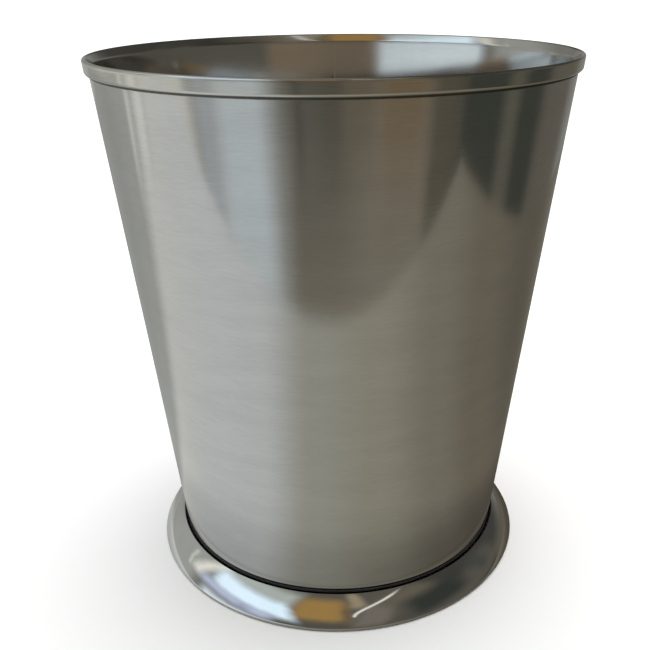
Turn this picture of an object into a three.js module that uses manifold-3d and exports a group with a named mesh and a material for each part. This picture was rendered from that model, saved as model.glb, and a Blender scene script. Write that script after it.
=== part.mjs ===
// Tapered stainless-steel wastebasket on a polished flared foot ring.
// Units are millimetres, +Z is up, and the origin is on the floor on the basket's axis.

import * as THREE from 'three';
import { mergeVertices } from 'three/addons/utils/BufferGeometryUtils.js';
import Module from 'manifold-3d';

const wasm = await Module();
wasm.setup();

// ---- Driving dimensions -------------------------------------------------------------------

const OVERALL_HEIGHT = 271.5;
const RIM_OUTER_RADIUS = 120;
const FIT_GAP = 0.3;              // left between pieces that touch on the real object
const RING_SEGMENTS = 64;         // facets round every large turned piece
const SMALL_SEGMENTS = 16;        // facets round fasteners and feet

// Body: a rolled sheet cone with an inward flange at its bottom edge.
const BODY_SHEET = 0.5;
const BODY_BOTTOM_Z = 15.7;
const BODY_BOTTOM_RADIUS = 91.1;
const BODY_TAPER = 0.1058;        // radius gained per millimetre of height
const BODY_TOP_Z = OVERALL_HEIGHT - 4.15;
const BODY_BEND_RADIUS = 1.2;
const BODY_FLANGE_INNER_RADIUS = 84;

// Rim band: a folded channel clinched over the top edge of the body. Inside, it slopes down and in
// from a narrow rounded top edge to a short leg against the body's inner face.
const BAND_SHEET = 0.5;
const BAND_BOTTOM_Z = OVERALL_HEIGHT - 7;
const BAND_CORNER_RADIUS = 1.5;
const BAND_TOP_RADIUS = 1.05;
const BAND_SLOPE_ANGLE = 25;      // degrees from upright
const BAND_INNER_LEG_Z = OVERALL_HEIGHT - 5.4;

// Floor pan: a pressed disc that stands on the body's inward flange.
const PAN_SHEET = 0.6;
const PAN_TOP_Z = 25.5;
const PAN_CORNER_RADIUS = 2.5;
const PAN_SKIRT_LEAN = 0.15;      // the skirt leans in to clear the bend at the foot of the body
const PAN_BEAD_RADIUS = 66;       // centre line of the stiffening bead
const PAN_BEAD_WIDTH = 12;
const PAN_BEAD_HEIGHT = 1.6;

// Base ring: a polished flared flange with a rolled outer edge and an inner ledge.
const RING_SHEET = 0.6;
const RING_BOTTOM_Z = 0.8;
const RING_OUTER_RADIUS = 104.3;
const RING_LIP_RADIUS = 92.7;
const RING_LIP_Z = 14.4;
const RING_LIP_ROUND = 1;         // width of the rounded corner between the lip and the ledge
const RING_BULGE = 1;             // how far the flange stands out from a straight cone
const RING_ROLL_RADIUS = 0.9;     // rolled outer edge, outside radius
const LEDGE_TOP_Z = 13.5;
const LEDGE_INNER_RADIUS = 82;

// Spacer gasket: the black line between the body and the base ring.
const GASKET_OUTER_RADIUS = 91;
const GASKET_INNER_RADIUS = 83;

// Base plate: a moulded disc that clamps the ledge from below.
const PLATE_BOTTOM_Z = 2;
const PLATE_THICKNESS = 2.2;
const PLATE_RADIUS = 99.6;
const PLATE_EDGE_CHAMFER = 0.8;
const UPSTAND_INNER_RADIUS = 83;
const UPSTAND_OUTER_RADIUS = 86;
const PLATE_BOSS_RADIUS = 9;
const PLATE_BOSS_TOP_Z = 8;
const HUB_RADIUS = 14;
const RIB_COUNT = 8;
const RIB_THICKNESS = 2;
const RIB_TOP_Z = 7;

// Screws, washers and standoffs: four sets on one circle.
const FASTENER_COUNT = 4;
const FASTENER_CIRCLE_RADIUS = 58;
const SCREW_RADIUS = 2;
const SCREW_POINT = 0.8;
const SCREW_TIP_Z = 19;
const SCREW_HEAD_RADIUS = 4;
const SCREW_HEAD_BOTTOM_Z = 1.9;
const SCREW_HEAD_HEIGHT = 2.4;
const SCREW_HEAD_ROUND = 0.9;
const SCREW_HOLE_RADIUS = SCREW_RADIUS + FIT_GAP;
const WASHER_RADIUS = 5;
const WASHER_THICKNESS = 0.8;
const COUNTERBORE_RADIUS = 5.8;
const STANDOFF_RADIUS = 5;
const STANDOFF_HOLE_DEPTH = 12;

// Push-in rubber feet: four, halfway between the screws and near the edge of the plate.
const FOOT_COUNT = 4;
const FOOT_CIRCLE_RADIUS = 74;
const FOOT_RADIUS = 8;
const FOOT_EDGE_CHAMFER = 0.5;
const FOOT_NECK_RADIUS = 2.4;
const FOOT_BARB_RADIUS = 3.6;
const FOOT_BARB_TIP_RADIUS = 1.8;
const FOOT_BARB_HEIGHT = 1.8;

// ---- Finishes -----------------------------------------------------------------------------

const FINISHES = {
  brushed_steel: { color: 0x9a9992, roughness: 0.38, metalness: 1 },
  satin_steel: { color: 0x98968e, roughness: 0.3, metalness: 1 },
  polished_steel: { color: 0xc4c5c2, roughness: 0.08, metalness: 1 },
  zinc_steel: { color: 0xa9aaa8, roughness: 0.35, metalness: 1 },
  black_plastic: { color: 0x1a1a1b, roughness: 0.6, metalness: 0 },
  black_rubber: { color: 0x141414, roughness: 0.85, metalness: 0 },
};

// ---- Helpers ------------------------------------------------------------------------------

const wastebasket = new THREE.Group();
wastebasket.name = 'wastebasket';

function addPiece(name, geometry, finish) {
  const mesh = new THREE.Mesh(geometry, new THREE.MeshStandardMaterial(FINISHES[finish]));
  mesh.name = name;
  wastebasket.add(mesh);
  return mesh;
}

// Points along a circular arc between two angles in degrees, both ends included.
function arc(centreR, centreZ, radius, startAngle, endAngle, steps) {
  return Array.from({ length: steps + 1 }, (_, i) => {
    const angle = THREE.MathUtils.degToRad(THREE.MathUtils.lerp(startAngle, endAngle, i / steps));
    return [centreR + radius * Math.cos(angle), centreZ + radius * Math.sin(angle)];
  });
}

// Points from a down and out to b on a shallow curve that stands out by bulge at its middle.
function bulgedLine(a, b, bulge, steps) {
  const start = new THREE.Vector2(...a);
  const chord = new THREE.Vector2(...b).sub(start);
  const outward = new THREE.Vector2(-chord.y, chord.x).normalize();
  return Array.from({ length: steps + 1 }, (_, i) => {
    const t = i / steps;
    const lift = 4 * bulge * t * (1 - t);
    return start.clone().addScaledVector(chord, t).addScaledVector(outward, lift).toArray();
  });
}

// The outline of a bent sheet. The path is one face of it, and the other face lies the sheet's
// thickness away to the right of the way along the path.
function sheetOutline(path, thickness) {
  const points = path.map(([radius, height]) => new THREE.Vector2(radius, height));
  const rightOf = (from, to) => {
    const along = to.clone().sub(from).normalize();
    return new THREE.Vector2(along.y, -along.x);
  };
  const farFace = points.map((point, i) => {
    const before = rightOf(points[Math.max(i - 1, 0)], points[Math.max(i, 1)]);
    const last = points.length - 1;
    const after = rightOf(points[Math.min(i, last - 1)], points[Math.min(i + 1, last)]);
    const mitre = before.clone().add(after).normalize();
    return point.clone().addScaledVector(mitre, thickness / mitre.dot(before)).toArray();
  });
  return [...path, ...farFace.reverse()];
}

// A solid of revolution about Z. The outline is a list of [radius, height] and is closed here.
function turned(outline, segments) {
  const loop = [...outline, outline[0]].map(([radius, height]) => new THREE.Vector2(radius, height));
  if (THREE.ShapeUtils.area(loop) < 0) {
    loop.reverse();
  }
  return new THREE.LatheGeometry(loop, segments).rotateX(Math.PI / 2);
}

function solid(geometry) {
  const bare = geometry.clone();
  bare.deleteAttribute('normal');
  bare.deleteAttribute('uv');
  const welded = mergeVertices(bare, 1e-4);
  const vertProperties = new Float32Array(welded.attributes.position.array);
  const triVerts = new Uint32Array(welded.index.array);
  return new wasm.Manifold(new wasm.Mesh({ numProp: 3, vertProperties, triVerts }));
}

function toGeometry(manifold) {
  const mesh = manifold.getMesh();
  const geometry = new THREE.BufferGeometry();
  geometry.setAttribute('position', new THREE.BufferAttribute(mesh.vertProperties, 3));
  geometry.setIndex(new THREE.BufferAttribute(mesh.triVerts, 1));
  geometry.computeVertexNormals();
  return geometry;
}

// A turned plug that adds a boss or cuts a hole, standing at (x, y).
function plug(radius, bottomZ, topZ, x, y) {
  const outline = [[0, bottomZ], [radius, bottomZ], [radius, topZ], [0, topZ]];
  return solid(turned(outline, SMALL_SEGMENTS).translate(x, y, 0));
}

// Centres of a set of pieces evenly spaced round the axis.
function circleOfPoints(count, radius, firstAngle) {
  return Array.from({ length: count }, (_, i) => {
    const angle = firstAngle + (2 * Math.PI * i) / count;
    return { x: radius * Math.cos(angle), y: radius * Math.sin(angle), number: i + 1 };
  });
}

function bodyOuterRadius(z) {
  return BODY_BOTTOM_RADIUS + BODY_TAPER * (z - BODY_BOTTOM_Z);
}

function bodyInnerRadius(z) {
  return bodyOuterRadius(z) - BODY_SHEET;
}

const screwSpots = circleOfPoints(FASTENER_COUNT, FASTENER_CIRCLE_RADIUS, 0);
const footSpots = circleOfPoints(FOOT_COUNT, FOOT_CIRCLE_RADIUS, Math.PI / FOOT_COUNT);

// ---- Body shell ---------------------------------------------------------------------------

function bodyShell() {
  const bendZ = BODY_BOTTOM_Z + BODY_BEND_RADIUS;
  const bendCentre = bodyOuterRadius(bendZ) - BODY_BEND_RADIUS;
  const outerFace = [
    [bodyOuterRadius(BODY_TOP_Z), BODY_TOP_Z],
    ...arc(bendCentre, bendZ, BODY_BEND_RADIUS, 0, -90, 3),
    [BODY_FLANGE_INNER_RADIUS, BODY_BOTTOM_Z],
  ];
  return turned(sheetOutline(outerFace, BODY_SHEET), RING_SEGMENTS);
}

// ---- Rim band -----------------------------------------------------------------------------

function rimBand() {
  const cornerZ = BAND_BOTTOM_Z + BAND_CORNER_RADIUS;
  const crestZ = OVERALL_HEIGHT - BAND_TOP_RADIUS;
  const wallFootRadius = RIM_OUTER_RADIUS - BODY_TAPER * (crestZ - cornerZ);
  const top = arc(
    RIM_OUTER_RADIUS - BAND_TOP_RADIUS, crestZ, BAND_TOP_RADIUS, 180 - BAND_SLOPE_ANGLE, 0, 7,
  );
  const legRadius = bodyInnerRadius(BODY_TOP_Z) - FIT_GAP - BAND_SHEET;
  const slope = Math.tan(THREE.MathUtils.degToRad(90 - BAND_SLOPE_ANGLE));
  const legTopZ = top[0][1] - slope * (top[0][0] - legRadius);
  const legFoot = bodyInnerRadius(BAND_INNER_LEG_Z) - FIT_GAP - BAND_SHEET;
  const outerFace = [
    [legFoot, BAND_INNER_LEG_Z],
    [legRadius, legTopZ],
    ...top,
    ...arc(wallFootRadius - BAND_CORNER_RADIUS, cornerZ, BAND_CORNER_RADIUS, 0, -90, 4),
    [bodyOuterRadius(BAND_BOTTOM_Z) + FIT_GAP, BAND_BOTTOM_Z],
  ];
  return turned(sheetOutline(outerFace, BAND_SHEET), RING_SEGMENTS);
}

// ---- Floor pan ----------------------------------------------------------------------------

function floorPan() {
  const skirtFootZ = BODY_BOTTOM_Z + BODY_SHEET + FIT_GAP;
  const skirtTopZ = PAN_TOP_Z - PAN_CORNER_RADIUS;
  const cornerCentre = bodyInnerRadius(skirtTopZ) - FIT_GAP - PAN_CORNER_RADIUS;
  const beadTopZ = PAN_TOP_Z + PAN_BEAD_HEIGHT;
  const topFace = [
    [0, PAN_TOP_Z],
    [PAN_BEAD_RADIUS - PAN_BEAD_WIDTH / 2, PAN_TOP_Z],
    [PAN_BEAD_RADIUS - PAN_BEAD_WIDTH / 4, beadTopZ],
    [PAN_BEAD_RADIUS + PAN_BEAD_WIDTH / 4, beadTopZ],
    [PAN_BEAD_RADIUS + PAN_BEAD_WIDTH / 2, PAN_TOP_Z],
    ...arc(cornerCentre, skirtTopZ, PAN_CORNER_RADIUS, 90, 0, 4),
    [bodyInnerRadius(skirtFootZ) - FIT_GAP - PAN_SKIRT_LEAN, skirtFootZ],
  ];
  return turned(sheetOutline(topFace, PAN_SHEET), RING_SEGMENTS);
}

// ---- Spacer gasket ------------------------------------------------------------------------

function spacerGasket() {
  const bottomZ = LEDGE_TOP_Z + FIT_GAP;
  const topZ = BODY_BOTTOM_Z - FIT_GAP;
  return turned([
    [GASKET_INNER_RADIUS, bottomZ],
    [GASKET_OUTER_RADIUS, bottomZ],
    [GASKET_OUTER_RADIUS, topZ],
    [GASKET_INNER_RADIUS, topZ],
  ], RING_SEGMENTS);
}

// ---- Base ring ----------------------------------------------------------------------------

function baseRing() {
  const rollCentreR = RING_OUTER_RADIUS - RING_ROLL_RADIUS;
  const rollCentreZ = RING_BOTTOM_Z + RING_ROLL_RADIUS;
  const roll = arc(rollCentreR, rollCentreZ, RING_ROLL_RADIUS, 30, -90, 4);
  const topFace = [
    [LEDGE_INNER_RADIUS, LEDGE_TOP_Z],
    [RING_LIP_RADIUS - RING_LIP_ROUND, LEDGE_TOP_Z],
    ...bulgedLine([RING_LIP_RADIUS, RING_LIP_Z], roll[0], RING_BULGE, 7),
    ...roll.slice(1),
  ];
  return turned(sheetOutline(topFace, RING_SHEET), RING_SEGMENTS);
}

// ---- Base plate ---------------------------------------------------------------------------

function basePlate() {
  const topZ = PLATE_BOTTOM_Z + PLATE_THICKNESS;
  const midZ = PLATE_BOTTOM_Z + PLATE_THICKNESS / 2;
  const upstandTopZ = LEDGE_TOP_Z - RING_SHEET - FIT_GAP;
  let plate = solid(turned([
    [0, PLATE_BOTTOM_Z],
    [PLATE_RADIUS - PLATE_EDGE_CHAMFER, PLATE_BOTTOM_Z],
    [PLATE_RADIUS, PLATE_BOTTOM_Z + PLATE_EDGE_CHAMFER],
    [PLATE_RADIUS, topZ],
    [UPSTAND_OUTER_RADIUS, topZ],
    [UPSTAND_OUTER_RADIUS, upstandTopZ],
    [UPSTAND_INNER_RADIUS, upstandTopZ],
    [UPSTAND_INNER_RADIUS, topZ],
    [0, topZ],
  ], RING_SEGMENTS));

  plate = plate.add(plug(HUB_RADIUS, midZ, RIB_TOP_Z, 0, 0));
  const ribStart = HUB_RADIUS / 2;
  const ribLength = (UPSTAND_INNER_RADIUS + UPSTAND_OUTER_RADIUS) / 2 - ribStart;
  for (let i = 0; i < RIB_COUNT; i += 1) {
    const rib = new THREE.BoxGeometry(ribLength, RIB_THICKNESS, RIB_TOP_Z - midZ);
    rib.translate(ribStart + ribLength / 2, 0, (RIB_TOP_Z + midZ) / 2);
    rib.rotateZ((2 * Math.PI * (i + 0.5)) / RIB_COUNT);
    plate = plate.add(solid(rib));
  }

  const belowZ = PLATE_BOTTOM_Z - 1;
  const shoulderZ = SCREW_HEAD_BOTTOM_Z + SCREW_HEAD_HEIGHT + WASHER_THICKNESS + 2 * FIT_GAP;
  for (const { x, y } of screwSpots) {
    plate = plate.add(plug(PLATE_BOSS_RADIUS, midZ, PLATE_BOSS_TOP_Z, x, y));
    plate = plate.subtract(plug(COUNTERBORE_RADIUS, belowZ, shoulderZ, x, y));
    plate = plate.subtract(plug(SCREW_HOLE_RADIUS, belowZ, PLATE_BOSS_TOP_Z + 1, x, y));
  }
  for (const { x, y } of footSpots) {
    plate = plate.subtract(plug(FOOT_NECK_RADIUS + FIT_GAP, belowZ, topZ + 1, x, y));
  }
  return toGeometry(plate);
}

// ---- Fasteners and feet -------------------------------------------------------------------

function screw() {
  const headTopZ = SCREW_HEAD_BOTTOM_Z + SCREW_HEAD_HEIGHT;
  const roundZ = SCREW_HEAD_BOTTOM_Z + SCREW_HEAD_ROUND;
  return turned([
    [0, SCREW_HEAD_BOTTOM_Z],
    ...arc(SCREW_HEAD_RADIUS - SCREW_HEAD_ROUND, roundZ, SCREW_HEAD_ROUND, -90, 0, 3),
    [SCREW_HEAD_RADIUS, headTopZ],
    [SCREW_RADIUS, headTopZ],
    [SCREW_RADIUS, SCREW_TIP_Z - SCREW_POINT],
    [SCREW_RADIUS - SCREW_POINT, SCREW_TIP_Z],
    [0, SCREW_TIP_Z],
  ], SMALL_SEGMENTS);
}

function washer() {
  const bottomZ = SCREW_HEAD_BOTTOM_Z + SCREW_HEAD_HEIGHT + FIT_GAP;
  return turned([
    [SCREW_HOLE_RADIUS, bottomZ],
    [WASHER_RADIUS, bottomZ],
    [WASHER_RADIUS, bottomZ + WASHER_THICKNESS],
    [SCREW_HOLE_RADIUS, bottomZ + WASHER_THICKNESS],
  ], SMALL_SEGMENTS);
}

function standoff() {
  const bottomZ = PLATE_BOSS_TOP_Z + FIT_GAP;
  const topZ = PAN_TOP_Z - PAN_SHEET - FIT_GAP;
  return turned([
    [0, topZ],
    [STANDOFF_RADIUS, topZ],
    [STANDOFF_RADIUS, bottomZ],
    [SCREW_HOLE_RADIUS, bottomZ],
    [SCREW_HOLE_RADIUS, bottomZ + STANDOFF_HOLE_DEPTH],
    [0, bottomZ + STANDOFF_HOLE_DEPTH],
  ], SMALL_SEGMENTS);
}

function rubberFoot() {
  const padTopZ = PLATE_BOTTOM_Z - FIT_GAP;
  const barbZ = PLATE_BOTTOM_Z + PLATE_THICKNESS + FIT_GAP;
  return turned([
    [0, 0],
    [FOOT_RADIUS - FOOT_EDGE_CHAMFER, 0],
    [FOOT_RADIUS, FOOT_EDGE_CHAMFER],
    [FOOT_RADIUS, padTopZ],
    [FOOT_NECK_RADIUS, padTopZ],
    [FOOT_NECK_RADIUS, barbZ],
    [FOOT_BARB_RADIUS, barbZ],
    [FOOT_BARB_TIP_RADIUS, barbZ + FOOT_BARB_HEIGHT],
    [0, barbZ + FOOT_BARB_HEIGHT],
  ], SMALL_SEGMENTS);
}

// ---- Assembly -----------------------------------------------------------------------------

addPiece('body_shell', bodyShell(), 'brushed_steel');
addPiece('rim_band', rimBand(), 'satin_steel');
addPiece('floor_pan', floorPan(), 'brushed_steel');
addPiece('spacer_gasket', spacerGasket(), 'black_rubber');
addPiece('base_ring', baseRing(), 'polished_steel');
addPiece('base_plate', basePlate(), 'black_plastic');

for (const { x, y, number } of screwSpots) {
  addPiece(`base_screw_${number}`, screw(), 'zinc_steel').position.set(x, y, 0);
  addPiece(`screw_washer_${number}`, washer(), 'zinc_steel').position.set(x, y, 0);
  addPiece(`weld_standoff_${number}`, standoff(), 'zinc_steel').position.set(x, y, 0);
}
for (const { x, y, number } of footSpots) {
  addPiece(`rubber_foot_${number}`, rubberFoot(), 'black_rubber').position.set(x, y, 0);
}

export default wastebasket;
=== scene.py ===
"""Looks for the tapered stainless-steel wastebasket. Everything is in metres, in the frame of the CAD."""

import math
import bpy
from mathutils import Matrix, Vector


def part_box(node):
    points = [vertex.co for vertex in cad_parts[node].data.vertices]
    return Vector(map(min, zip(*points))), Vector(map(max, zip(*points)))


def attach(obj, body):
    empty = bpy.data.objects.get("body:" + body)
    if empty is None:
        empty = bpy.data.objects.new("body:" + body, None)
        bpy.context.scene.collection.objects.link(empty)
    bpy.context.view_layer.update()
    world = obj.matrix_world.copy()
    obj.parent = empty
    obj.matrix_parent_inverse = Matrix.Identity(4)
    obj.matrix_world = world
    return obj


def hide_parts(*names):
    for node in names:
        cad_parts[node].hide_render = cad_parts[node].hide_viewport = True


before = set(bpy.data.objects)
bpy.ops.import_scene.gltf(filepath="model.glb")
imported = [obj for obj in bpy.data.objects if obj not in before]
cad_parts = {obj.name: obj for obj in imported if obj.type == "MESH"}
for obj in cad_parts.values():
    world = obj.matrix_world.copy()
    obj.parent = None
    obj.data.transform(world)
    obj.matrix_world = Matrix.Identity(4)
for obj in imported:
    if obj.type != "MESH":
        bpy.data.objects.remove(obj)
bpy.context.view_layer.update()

MM = 0.001
scene = bpy.context.scene

# ---- Sizes, from the frame ------------------------------------------------------------------

body_low, body_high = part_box("body_shell")
band_low, band_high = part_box("rim_band")
pan_low, pan_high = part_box("floor_pan")
gasket_low, gasket_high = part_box("spacer_gasket")
ring_low, ring_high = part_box("base_ring")
plate_low, plate_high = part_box("base_plate")

BODY_SHEET = 0.5 * MM
BODY_BOTTOM_RADIUS = gasket_high.x + 0.1 * MM
BODY_TAPER = (body_high.x - BODY_BOTTOM_RADIUS) / (body_high.z - body_low.z)
FIT_GAP = 0.3 * MM
SEAM_ANGLE = math.pi / 2          # the weld and the band's joint are at the back, along +Y


def body_outer_radius(z):
    return BODY_BOTTOM_RADIUS + BODY_TAPER * (z - body_low.z)


def body_inner_radius(z):
    return body_outer_radius(z) - BODY_SHEET


# ---- Camera ---------------------------------------------------------------------------------

CAMERA_PLACE = (0.0, -0.4329, 0.3064)
CAMERA_TILT = 0.4043              # radians below the horizon
CAMERA_TURN = 0.0006
CAMERA_ROLL = -0.0097
CAMERA_LENS = 46.34
CAMERA_SHIFT = (-0.0182, 0.0090)


def make_camera():
    data = bpy.data.cameras.new("camera")
    data.sensor_width = 36.0
    data.lens = CAMERA_LENS
    data.shift_x, data.shift_y = CAMERA_SHIFT
    data.clip_start = 0.01
    data.clip_end = 100.0
    camera = bpy.data.objects.new("camera", data)
    scene.collection.objects.link(camera)
    ahead = Vector((
        math.sin(CAMERA_TURN) * math.cos(CAMERA_TILT),
        math.cos(CAMERA_TURN) * math.cos(CAMERA_TILT),
        -math.sin(CAMERA_TILT),
    ))
    right = Vector((math.cos(CAMERA_TURN), -math.sin(CAMERA_TURN), 0.0))
    right.rotate(Matrix.Rotation(-CAMERA_ROLL, 3, ahead))
    up = right.cross(ahead)
    turn = Matrix((right, up, -ahead)).transposed().to_4x4()
    camera.matrix_world = Matrix.Translation(CAMERA_PLACE) @ turn
    scene.camera = camera


make_camera()

# ---- Node helpers ---------------------------------------------------------------------------


def add_node(tree, kind, inputs=None, **settings):
    """A shader node. An input is a value, or a socket to link from."""
    node = tree.nodes.new("ShaderNode" + kind)
    for name, value in settings.items():
        setattr(node, name, value)
    for key, value in (inputs or {}).items():
        if isinstance(value, bpy.types.NodeSocket):
            tree.links.new(value, node.inputs[key])
        else:
            node.inputs[key].default_value = value
    return node


def math_node(tree, operation, *values):
    return add_node(tree, "Math", dict(enumerate(values)), operation=operation).outputs[0]


def smooth_step(tree, value, low, high):
    """0 at low, 1 at high, with a soft S between; low may be above high."""
    node = add_node(
        tree, "MapRange", {"Value": value, "From Min": low, "From Max": high},
        interpolation_type="SMOOTHSTEP",
    )
    return node.outputs[0]


def scaled(tree, value, low, high):
    """Takes a value in 0 to 1 to the range low to high."""
    return add_node(tree, "MapRange", {"Value": value, "To Min": low, "To Max": high}).outputs[0]


def mix_colour(tree, factor, a, b):
    """a where factor is 0, b where it is 1. Each is a colour, or a socket to link from."""
    node = tree.nodes.new("ShaderNodeMix")
    node.data_type = "RGBA"
    for socket, value in ((node.inputs[0], factor), (node.inputs[6], a), (node.inputs[7], b)):
        if isinstance(value, bpy.types.NodeSocket):
            tree.links.new(value, socket)
        elif isinstance(value, (tuple, list)):
            socket.default_value = (*value[:3], 1.0)
        else:
            socket.default_value = value
    return node.outputs[2]


def turn_from_camera(tree, parts):
    """Degrees round the axis: 0 towards the camera and positive to its right."""
    angle = math_node(tree, "ARCTAN2", parts["X"], math_node(tree, "MULTIPLY", parts["Y"], -1.0))
    return math_node(tree, "DEGREES", angle)


def object_place(tree):
    """X, Y and Z in the object's own frame, and the distance from the axis."""
    place = add_node(tree, "TexCoord").outputs["Object"]
    parts = add_node(tree, "SeparateXYZ", {0: place}).outputs
    flat = add_node(tree, "CombineXYZ", {"X": parts["X"], "Y": parts["Y"]}).outputs[0]
    radius = add_node(tree, "VectorMath", {0: flat}, operation="LENGTH").outputs["Value"]
    return parts, radius


# ---- Studio: what the metal reflects ----------------------------------------------------------

# Each panel is a soft-edged area of the studio round the basket. Angles are in degrees: azimuth 0
# is towards the camera and positive to its right, elevation is above the horizon. Later panels
# cover earlier ones. lean is how far a panel's middle moves in azimuth per degree of elevation.
STUDIO_BASE = (0.13, 0.12, 0.10)
PANELS = [
    # name, azimuth, elevation, half width, half height, softness, lean, colour
    ("left_wall", -142, 10, 50, 75, 10, 0.0, (0.45, 0.46, 0.44)),
    ("back_wall", 180, 30, 40, 75, 16, 0.0, (0.26, 0.26, 0.24)),
    ("right_back", 152, 33, 40, 24, 7, 0.0, (0.070, 0.067, 0.060)),
    ("right_ceiling", 112, 54, 36, 26, 10, 0.0, (0.065, 0.063, 0.055)),
    ("left_frame", -97, 34, 4, 20, 5, 0.0, (1.05, 1.04, 0.94)),
    ("left_rail", -107, 20, 1, 9, 2, -0.4, (0.80, 0.82, 0.76)),
    ("above_window", -64, 52, 30, 12, 9, 0.0, (0.56, 0.61, 0.58)),
    ("tan_wall", -14, 44, 18, 18, 8, 0.0, (0.44, 0.27, 0.09)),
    ("low_shade", 4, 18, 40, 8, 8, 0.0, (0.115, 0.105, 0.088)),
    ("window", -60, 33, 29, 11, 6, -0.5, (1.08, 1.32, 1.50)),
    ("tree_line", -66, 19, 26, 5, 6, 0.0, (0.66, 0.74, 0.95)),
    ("tree_tops", -58, 15, 3, 6, 6, 0.0, (0.36, 0.40, 0.55)),
    ("horizon_glow", -54, 3, 32, 7, 5, 0.0, (0.92, 1.04, 1.10)),
    ("dark_figure", 5, 36, 2, 12, 4, 0.0, (0.19, 0.14, 0.085)),
    ("tan_strip", 15, 60, 6, 12, 5, 0.0, (0.40, 0.33, 0.22)),
    ("grey_wall", 23, 34, 11, 16, 6, 0.4, (0.22, 0.195, 0.165)),
    ("brown_wall", 50, 50, 22, 8, 8, 0.0, (0.17, 0.145, 0.11)),
    ("dark_door", 64, 28, 20, 14, 9, 0.0, (0.045, 0.050, 0.043)),
    ("dark_post", 100, 24, 5, 14, 8, 0.0, (0.075, 0.078, 0.070)),
    ("brown_horizon", 6, 4, 30, 7, 6, 0.0, (0.26, 0.20, 0.135)),
    ("far_floor", 0, -38, 62, 24, 6, 0.0, (0.25, 0.225, 0.18)),
    ("left_floor", -112, -30, 46, 26, 6, 0.0, (0.72, 0.72, 0.66)),
    ("left_shade", -150, -25, 20, 26, 9, 0.0, (0.45, 0.45, 0.42)),
    ("pale_streak", -43, -24, 16, 14, 10, 0.0, (0.62, 0.68, 0.70)),
    ("grey_streak", -61, -18, 4, 12, 5, 0.0, (0.47, 0.50, 0.52)),
    ("figure_shade", -8, -12, 16, 16, 13, 0.0, (0.125, 0.12, 0.10)),
    ("legs", -17, -12, 1, 12, 3, -0.1, (0.085, 0.085, 0.08)),
    ("middle_shade", 0, -12, 5, 12, 5, 0.0, (0.12, 0.108, 0.085)),
    ("olive_floor", 12, -12, 7, 12, 5, 0.0, (0.175, 0.15, 0.11)),
    ("brown_floor", 31, -12, 11, 12, 6, 0.0, (0.215, 0.16, 0.10)),
    ("right_shade", 52, -14, 8, 14, 5, 0.0, (0.125, 0.11, 0.082)),
    ("right_dark", 84, -14, 26, 16, 5, 0.0, (0.060, 0.064, 0.052)),
    ("right_stripe", 88, -14, 5, 12, 4, 0.0, (0.135, 0.13, 0.10)),
    ("right_edge", 126, -14, 12, 16, 5, 0.0, (0.15, 0.135, 0.11)),
]
PANEL_WOBBLE = 2.0                # the panels' edges wander by up to this many degrees
PANEL_WOBBLE_SCALE = 9.0

# A long thin lamp. Its azimuth is a parabola above its lower end.
LAMP_FOOT = (9.5, 34.0)
LAMP_TOP = 62.0
LAMP_FOOT_FADE = 1.0
LAMP_TOP_FADE = 6.0
LAMP_BEND = 0.068
LAMP_HALF_WIDTH = 0.9
LAMP_COLOUR = (1.0, 0.99, 0.93)
WHITE = (1.0, 1.0, 1.0, 1.0)


def smooth_window(tree, angle, centre, half, softness):
    """1 inside centre plus or minus half, fading to 0 over the softness, with wrap-around."""
    distance = math_node(tree, "SUBTRACT", angle, centre)
    distance = math_node(tree, "WRAP", distance, 180.0, -180.0)
    distance = math_node(tree, "ABSOLUTE", distance)
    return smooth_step(tree, distance, half + softness, half - softness)


def lamp_mask(tree, azimuth, elevation):
    """1 on the curved lamp and 0 off it, with the same width along its whole length."""
    foot_azimuth, foot_elevation = LAMP_FOOT
    rise = math_node(tree, "MAXIMUM", math_node(tree, "SUBTRACT", elevation, foot_elevation), 0.0)
    middle = math_node(tree, "MULTIPLY", math_node(tree, "MULTIPLY", rise, rise), LAMP_BEND)
    off = math_node(tree, "ABSOLUTE", math_node(
        tree, "SUBTRACT", math_node(tree, "SUBTRACT", azimuth, foot_azimuth), middle
    ))
    slope = math_node(tree, "MULTIPLY", rise, 2 * LAMP_BEND)
    off = math_node(tree, "DIVIDE", off, math_node(tree, "ADD", slope, 1.0))
    line = smooth_step(tree, off, LAMP_HALF_WIDTH * 1.5, LAMP_HALF_WIDTH * 0.5)
    above = smooth_step(
        tree, elevation, foot_elevation - LAMP_FOOT_FADE, foot_elevation + LAMP_FOOT_FADE
    )
    below = smooth_step(tree, elevation, LAMP_TOP, LAMP_TOP - LAMP_TOP_FADE)
    return math_node(tree, "MULTIPLY", line, math_node(tree, "MULTIPLY", above, below))


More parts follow.
